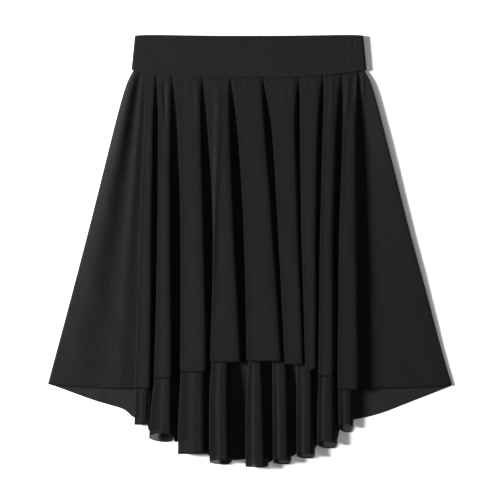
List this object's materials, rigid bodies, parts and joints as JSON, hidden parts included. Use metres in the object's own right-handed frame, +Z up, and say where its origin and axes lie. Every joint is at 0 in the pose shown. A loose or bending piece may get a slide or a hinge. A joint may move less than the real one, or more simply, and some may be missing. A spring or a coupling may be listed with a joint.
{
  "type": "ballet skirt",
  "caption": "Black ballet skirt laid flat, short in front and long behind, with a wide knit waistband and flared mesh panels hanging in rounded folds.",
  "frame": {"origin": "on the table under the middle of the box round the skirt", "axes": "+Y from the hems up to the waist, +X to the right as seen from above, +Z up from the table, out of the front panel"},
  "size_m": [0.5656, 0.6056, 0.015],
  "materials": {
    "front_mesh": "matte fine stretch mesh, a little see-through",
    "back_mesh": "matte fine stretch mesh, a little see-through",
    "band_knit": "matte double knit"
  },
  "bodies": {
    "root": {"skirt_front": "front_mesh", "skirt_back": "back_mesh", "waistband": "band_knit"}
  },
  "joints": []
}
